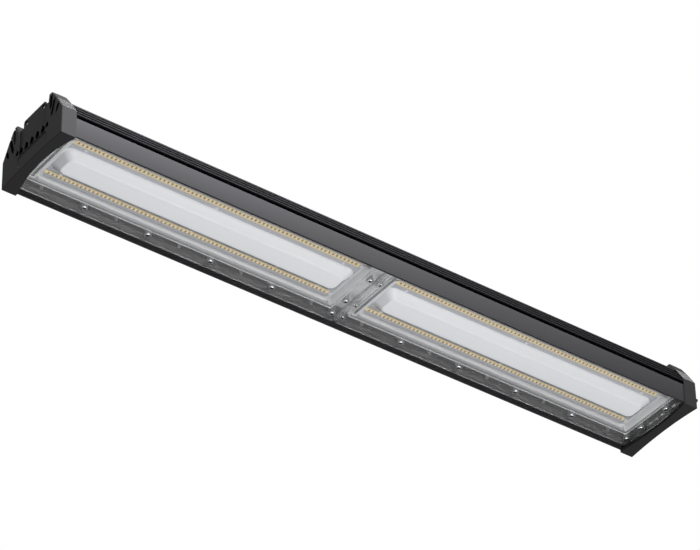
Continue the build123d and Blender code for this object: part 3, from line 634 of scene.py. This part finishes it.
# The milky finish also paints a highlight on the far border of the window
milky_and_highlight = polycarbonate("milky_highlight_polycarbonate", "#e4e6e8", 0.35, 0.8, Roughness=0.35, IOR=1.35)
thin_clear = polycarbonate("thin_polycarbonate", "#ffffff", 1.0, 0.97, Roughness=0.05, IOR=1.06)

# %% [markdown]
# The lens is one stack of rings that goes round its whole section: from the hollow over the reflector,
# out over the window and the flange, round the tongue that presses the seal, down the rim, and back in
# underneath. It could be a solid that is hollowed, but the bands let each part have its own finish.

# %% Rings of the lens
RIM_Z, FLANGE_Z, FLANGE_TOP_Z = 12.0, 20.0, 22.5
TONGUE_TOP_Z, WINDOW_Z, WINDOW_TOP_Z, FROST_Z = 28.3, 27.5, 29.5, 24.5
BULGE_Z, HOLLOW_Z = 14.9, 16.3
BULGE_GROW, HOLLOW_GROW = 2.1, 0.7


def inset(inset_x, inset_y, corner, z):
    return ring(LENS_HALF_LENGTH - inset_x, LENS_HALF_WIDTH - inset_y, corner, z)


above = [
    ring(*reflector_size(HOLLOW_Z, HOLLOW_GROW), HOLLOW_Z),
    ring(*reflector_size(WINDOW_TOP_Z, HOLLOW_GROW), WINDOW_TOP_Z),
    inset(27.5, 24.5, 10, WINDOW_TOP_Z),
    inset(26, 23, 11, WINDOW_TOP_Z),
    inset(20.84, 18.95, 12.5, FLANGE_TOP_Z),
    inset(17, 17, 1, FLANGE_TOP_Z),
    inset(17, 17, 1, TONGUE_TOP_Z),
    inset(15, 15, 2, TONGUE_TOP_Z),
    inset(15, 15, 2, FLANGE_TOP_Z),
    inset(0, 0, 5, FLANGE_TOP_Z),
]
under = [
    inset(0, 0, 5, RIM_Z),
    inset(3, 3, 2, RIM_Z),
    inset(3, 3, 2, FLANGE_Z),
    inset(21, 19.5, 11, FLANGE_Z),
    inset(25.2, 22.8, 10, FROST_Z),
    inset(28, 25, 9, WINDOW_Z),
    inset(31.5, 28.5, 8, WINDOW_Z),
    ring(*reflector_size(WINDOW_Z, BULGE_GROW), WINDOW_Z),
    ring(*reflector_size(BULGE_Z, BULGE_GROW), BULGE_Z),
]
print("rings round the lens's section:", len(above + under))

# %% [markdown]
# The parts with different finishes could be meshes of their own, but light has to pass them as it passes
# one moulding. So the lens stays one closed skin, and each band of faces has its finish by a number.
#
# On the real moulding the window's two borders surely have one finish. In the photograph the near one
# looks clear and the far one milky, and they are given as they look there: the far one's milky finish
# is a painted highlight on that wall. A last step also turns the walls at both ends milky.

# %% Lens
END_ZONE = 32.0
LENS_ROUND = 0.35
CLEAR, FROSTED, THIN, MILKY_AND_HIGHLIGHT = 0, 1, 2, 3
lens_finishes = [clear, frosted, thin_clear, milky_and_highlight]
band_finishes = [THIN] + [CLEAR] * 12 + [FROSTED, MILKY_AND_HIGHLIGHT, MILKY_AND_HIGHLIGHT, CLEAR, THIN, THIN]

for name, x in HALVES.items():
    bm = bmesh.new()
    stack(bm, above + under, (x, 0, 0), finishes=band_finishes)
    bmesh.ops.recalc_face_normals(bm, faces=bm.faces)
    for face in bm.faces:
        middle = face.calc_center_median() - Vector((x, 0, 0))
        to_end = LENS_HALF_LENGTH - abs(middle.x)
        to_side = LENS_HALF_WIDTH - abs(middle.y)
        at_end = to_end < to_side or (to_end < END_ZONE and abs(face.normal.x) > abs(face.normal.y))
        if face.material_index == FROSTED and at_end:
            face.material_index = MILKY_AND_HIGHLIGHT
        # Only the far border stays milky: a painted highlight on that wall
        if face.material_index == MILKY_AND_HIGHLIGHT and middle.y < 0 and not at_end:
            face.material_index = CLEAR
    piece("lens_skin_" + name, bm, lens_finishes, "lens_" + name, round_mm=LENS_ROUND)

# %% [markdown]
# Screws hold each lens all round: an even row along both sides and two more at each end. Small pins stand
# between the screws of a row, midway except in the outermost gaps. Each place could be typed in, but an
# inset, a pitch and the size of the lens say the same in fewer numbers, and the places move with the
# lens when it changes.

# %% Places of screws and pins
SCREW_INSET = 8.4
SIDE_SCREWS = 6
END_SCREW_Y = 31.0
PIN_END_OFFSET = 38.0
SPAN = LENS_HALF_LENGTH - SCREW_INSET
PITCH = 2 * SPAN / (SIDE_SCREWS - 1)
SCREW_Y = LENS_HALF_WIDTH - SCREW_INSET
SIDES = (-1, 1)
screw_places = [(-SPAN + i * PITCH, side * SCREW_Y) for i in range(SIDE_SCREWS) for side in SIDES]
screw_places += [(end * SPAN, side * END_SCREW_Y) for end in SIDES for side in SIDES]
pin_places = [(-SPAN + (i + 0.5) * PITCH, side * SCREW_Y)
              for i in range(1, SIDE_SCREWS - 2) for side in SIDES]
pin_places += [(end * (SPAN - PIN_END_OFFSET), side * SCREW_Y) for end in SIDES for side in SIDES]
print("screws per lens:", len(screw_places), "pins per lens:", len(pin_places))

# %% [markdown]
# Round bosses stand on the flange where the screws pass, and the pins between them. A low collar goes
# round each screw head: it is read from a bright arc beside some of them, and is a guess. All this is part
# of the moulding. It could be joined to the lens by a Boolean, but the cut edges would spoil its clean
# bands. So it is a piece of its own, 0.02 to 0.05 mm off the flange. The collars run 0.8 mm into the rim.

# %% Bosses and pins
BOSS_FOOT_Z, BOSS_TOP_Z = 22.55, 29.8
BOSS_RADIUS, BOSS_HOLE_RADIUS = 5.3, 2.3
COLLAR_TOP_Z, COLLAR_FOOT_Z = 19.98, 19.1

boss = [
    circle(BOSS_RADIUS, BOSS_FOOT_Z),
    circle(BOSS_RADIUS, 29.2),
    circle(4.9, BOSS_TOP_Z),
    circle(BOSS_HOLE_RADIUS, BOSS_TOP_Z),
    circle(BOSS_HOLE_RADIUS, BOSS_FOOT_Z),
]
collar = [circle(6.2, COLLAR_TOP_Z), circle(5.9, COLLAR_FOOT_Z), circle(5.0, COLLAR_FOOT_Z),
          circle(4.7, COLLAR_TOP_Z)]
pin = [circle(2.4, BOSS_FOOT_Z), circle(2.3, 29.4), circle(1.9, BOSS_TOP_Z)]
for name, x in HALVES.items():
    bm = bmesh.new()
    for px, py in screw_places:
        stack(bm, boss, (x + px, py, 0), closed=True)
        stack(bm, collar, (x + px, py, 0), closed=True)
    for px, py in pin_places:
        stack(bm, pin, (x + px, py, 0))
    piece("lens_bosses_" + name, bm, [frosted])

# %% [markdown]
# The lens screws are pan heads, pressed from wire: a low dome, a round edge, and a recess for the driver
# in the middle, which reads as a dark spot on the real screws. The recess could be a bump, but it is deep
# for its width and seen from the side, so it is real depth. Its inside and the ring round it are near
# black, painted shade where little light gets in. The skin of the lens has no holes for the shanks, which
# pass straight through it under the heads.

# %% Lens screws
HEAD_RADIUS, HEAD_HEIGHT, SHANK_RADIUS = 4.3, 2.3, 2.0
SHANK_TOP_Z = 34.9
SEAT_GAP = 0.02
HEAD_Z = FLANGE_Z - HEAD_HEIGHT
# Painted shade: the recess is near black
recess_shade, tree, shader = finish_of("painted_recess_shade", "#0b0b0c", Roughness=0.5)
grain(tree, shader, 0.4, 0.004)
screw = [
    circle(1.5, HEAD_Z + 1.8),
    circle(2.6, HEAD_Z + 0.3),
    circle(2.8, HEAD_Z + 0.1),
    circle(3.3, HEAD_Z + 0.02),
    circle(3.9, HEAD_Z + 0.5),
    circle(HEAD_RADIUS, HEAD_Z + 1.5),
    circle(HEAD_RADIUS, FLANGE_Z - SEAT_GAP),
    circle(SHANK_RADIUS, FLANGE_Z - SEAT_GAP),
    circle(SHANK_RADIUS, SHANK_TOP_Z),
]
for name, x in HALVES.items():
    bm = bmesh.new()
    for px, py in screw_places:
        # The recess and a ring round it take the painted shade
        stack(bm, screw, (x + px, py, 0), finishes=[1, 1] + [0] * 7)
    piece("pan_screws_" + name, bm, [zinc, recess_shade], "lens_screws_" + name, smooth=35)

# %% [markdown]
# A light chip is a small white package with a shallow cup, filled with silicone and yellow phosphor,
# which gives the cream colour. The row lies on a strip of cream lacquer, and dark brown blocks stand in
# the gaps from one chip to the next. A picture could stand in for all this, but it would be flat from
# the side. Each is a plain, rather dull surface, so a colour, a roughness and a faint grain are enough.

# %% Finishes of the light rows
phosphor, tree, shader = finish_of("led_phosphor", "#fbe3a0", Roughness=0.35)
grain(tree, shader, 0.6, 0.01)
package, tree, shader = finish_of("white_package", "#f6e2ae", Roughness=0.4)
grain(tree, shader, 0.6, 0.005)
gap_brown, tree, shader = finish_of("dark_brown_gap", "#321c05", Roughness=0.5)
grain(tree, shader, 0.5, 0.005)
lacquer, tree, shader = finish_of("cream_lacquer", "#f0d898", Roughness=0.45)
grain(tree, shader, 0.8, 0.005)
print("finishes of the light rows:", [m.name for m in (phosphor, package, gap_brown, lacquer)])

# %% [markdown]
# One chip is a few rings: its sides, a small bevel, the rim and the cup. A bridge is a low block over the
# strip that reaches 0.3 mm into the chips beside it, and the dark line beside the far row, a painted
# shadow, is a long one. They could be cubes with modifiers, but the ring helper that is there already
# draws them with the right corners.

# %% Outlines of a chip, a bridge and the painted shadow line
BOARD_Z = 32.0
CHIP_PITCH, CHIP_COUNT = 7.05, 72
CHIP_HALF_LENGTH, CHIP_HALF_WIDTH, CHIP_HEIGHT, CHIP_CORNER = 2.6, 2.2, 0.7, 0.35
STRIP_HEIGHT = 0.06
BRIDGE_HALF_LENGTH, BRIDGE_HALF_WIDTH, BRIDGE_HEIGHT = 1.25, 2.0, 0.76
FAR_SHADOW_WIDTH, FAR_SHADOW_HEIGHT = 0.8, 0.5
HALF_ROW = CHIP_COUNT * CHIP_PITCH / 2

low_z = BOARD_Z - CHIP_HEIGHT
chip_steps = [(0, BOARD_Z), (0, low_z + 0.1), (0.1, low_z), (0.45, low_z), (0.55, low_z + 0.12)]
chip = [ring(CHIP_HALF_LENGTH - s, CHIP_HALF_WIDTH - s, CHIP_CORNER, z, 1) for s, z in chip_steps]
bridge = [ring(BRIDGE_HALF_LENGTH, BRIDGE_HALF_WIDTH, 0.5, BOARD_Z - depth, 1)
          for depth in (STRIP_HEIGHT, BRIDGE_HEIGHT)]
far_shadow_line = [ring(HALF_ROW, FAR_SHADOW_WIDTH / 2, 0.4, BOARD_Z - depth, 1)
            for depth in (STRIP_HEIGHT, FAR_SHADOW_HEIGHT)]
print("a row of chips is", round(2 * HALF_ROW, 1), "mm long")

# %% [markdown]
# The chips could be objects of their own, but there are 288 of them, all alike and at one pitch, so each
# row is one mesh. The edges of the strip and the painted shadow line are set to how each row looks in the
# photograph, and are not the same for both rows.

# %% Rows of chips
CHIP_ROW_Y = 40.5
STRIP_EDGES = {"near": (35.4, 45.4), "far": (34.7, 43.4)}


def along_row(x, count):
    """The middles of a row of things at the chips' pitch, centred on one half of the light."""
    return [x + (index - (count - 1) / 2) * CHIP_PITCH for index in range(count)]


for name, x in HALVES.items():
    for row, side in (("near", -1), ("far", 1)):
        ending = "_%s_%s" % (row, name)
        bm = bmesh.new()
        for cx in along_row(x, CHIP_COUNT):
            stack(bm, chip, (cx, side * CHIP_ROW_Y, 0), finishes=[1, 1, 1, 0, 0])
        piece("chips" + ending, bm, [phosphor, package], "leds" + ending)

        bm = bmesh.new()
        inner_y, outer_y = STRIP_EDGES[row]
        strip = [ring(HALF_ROW, (outer_y - inner_y) / 2, 0.6, BOARD_Z - d, 2) for d in (0.0, STRIP_HEIGHT)]
        stack(bm, strip, (x, side * (inner_y + outer_y) / 2, 0))
        piece("row_land" + ending, bm, [lacquer])

        bm = bmesh.new()
        for cx in along_row(x, CHIP_COUNT - 1):
            stack(bm, bridge, (cx, side * CHIP_ROW_Y, 0))
        # The far row also gets the painted shadow line
        if row == "far":
            stack(bm, far_shadow_line, (x, side * (inner_y + FAR_SHADOW_WIDTH / 2), 0))
        piece("bridges" + ending, bm, [gap_brown])

# %% [markdown]
# The photograph has a white background, which could come from much light, but that would wash out the
# object. So the world is white only where the camera, a reflection or a clear part looks at it, by the
# same switch as in the lenses, and lights the object more softly. The floor glows in the same way, and
# keeps a share of its own shading, so that it still shows a shadow.

# %% Backdrop and floor
SEEN = ("Is Camera Ray", "Is Glossy Ray", "Is Transmission Ray")
WHITE = (1, 1, 1, 1)
SOFT_STRENGTH = 0.35
FLOOR_GLOW = 0.85
FLOOR_Z, FLOOR_HALF = -4.5, 20

world = bpy.data.worlds.new("studio")
world.use_nodes = True
bpy.context.scene.world = world
tree = world.node_tree
tree.nodes.clear()
soft = add(tree, "ShaderNodeBackground", inputs={"Color": WHITE, "Strength": SOFT_STRENGTH})
white = add(tree, "ShaderNodeBackground", inputs={"Color": WHITE, "Strength": 1.0})
sky = switch_for_rays(tree, SEEN, soft.outputs[0], white.outputs[0])
add(tree, "ShaderNodeOutputWorld", links={"Surface": sky})

corners = [(x * FLOOR_HALF, y * FLOOR_HALF, FLOOR_Z) for x, y in ((-1, -1), (1, -1), (1, 1), (-1, 1))]
floor_mesh = bpy.data.meshes.new("floor")
floor_mesh.from_pydata(corners, [], [(0, 1, 2, 3)])
floor = bpy.data.objects.new("floor", floor_mesh)
bpy.context.scene.collection.objects.link(floor)
floor_white, tree, shader = finish_of("floor_white", "#f2f2f2", Roughness=0.8)
glow = add(tree, "ShaderNodeEmission", inputs={"Color": WHITE, "Strength": 1.0})
show(tree, switch_for_rays(tree, SEEN, shader.outputs[0], glow.outputs[0], FLOOR_GLOW))
floor_mesh.materials.append(floor_white)
print("soft light:", SOFT_STRENGTH, "floor at z:", FLOOR_Z)

# %% [markdown]
# Three lamps do the rest. One stands at the near side of the left end, because in the photograph the side
# panel is lightest there. It is stronger than a plain level, which the dark paint and plastic make up for
# in part. A second hangs above for the tops of the end caps, and a wide one lies under the light for the
# white parts that face down. They are area lamps and not points, so that no shadow has a hard edge.

# %% Lamps
def lamp(name, place, target, size, watts):
    data = bpy.data.lights.new(name, "AREA")
    data.shape = "RECTANGLE"
    data.size, data.size_y = size
    data.energy = watts
    obj = bpy.data.objects.new(name, data)
    bpy.context.scene.collection.objects.link(obj)
    obj.location = place
    obj.rotation_mode = "QUATERNION"
    obj.rotation_quaternion = (Vector(target) - Vector(place)).to_track_quat("-Z", "Y")
    print(name, watts, "W")
    return obj


lamp("near lamp", (-0.52, -0.78, 0.3), (-0.52, 0, 0.04), (0.45, 0.45), 26)
lamp("upper lamp", (0.8, 0.3, 1.5), (0.1, 0, 0), (2.4, 0.8), 115)
lower = lamp("lower lamp", (0.0, -2.0, -1.7), (0, 0, 0), (2.6, 1.2), 46)
lower.data.specular_factor = 0.3

bpy.context.scene.view_settings.view_transform = "Standard"
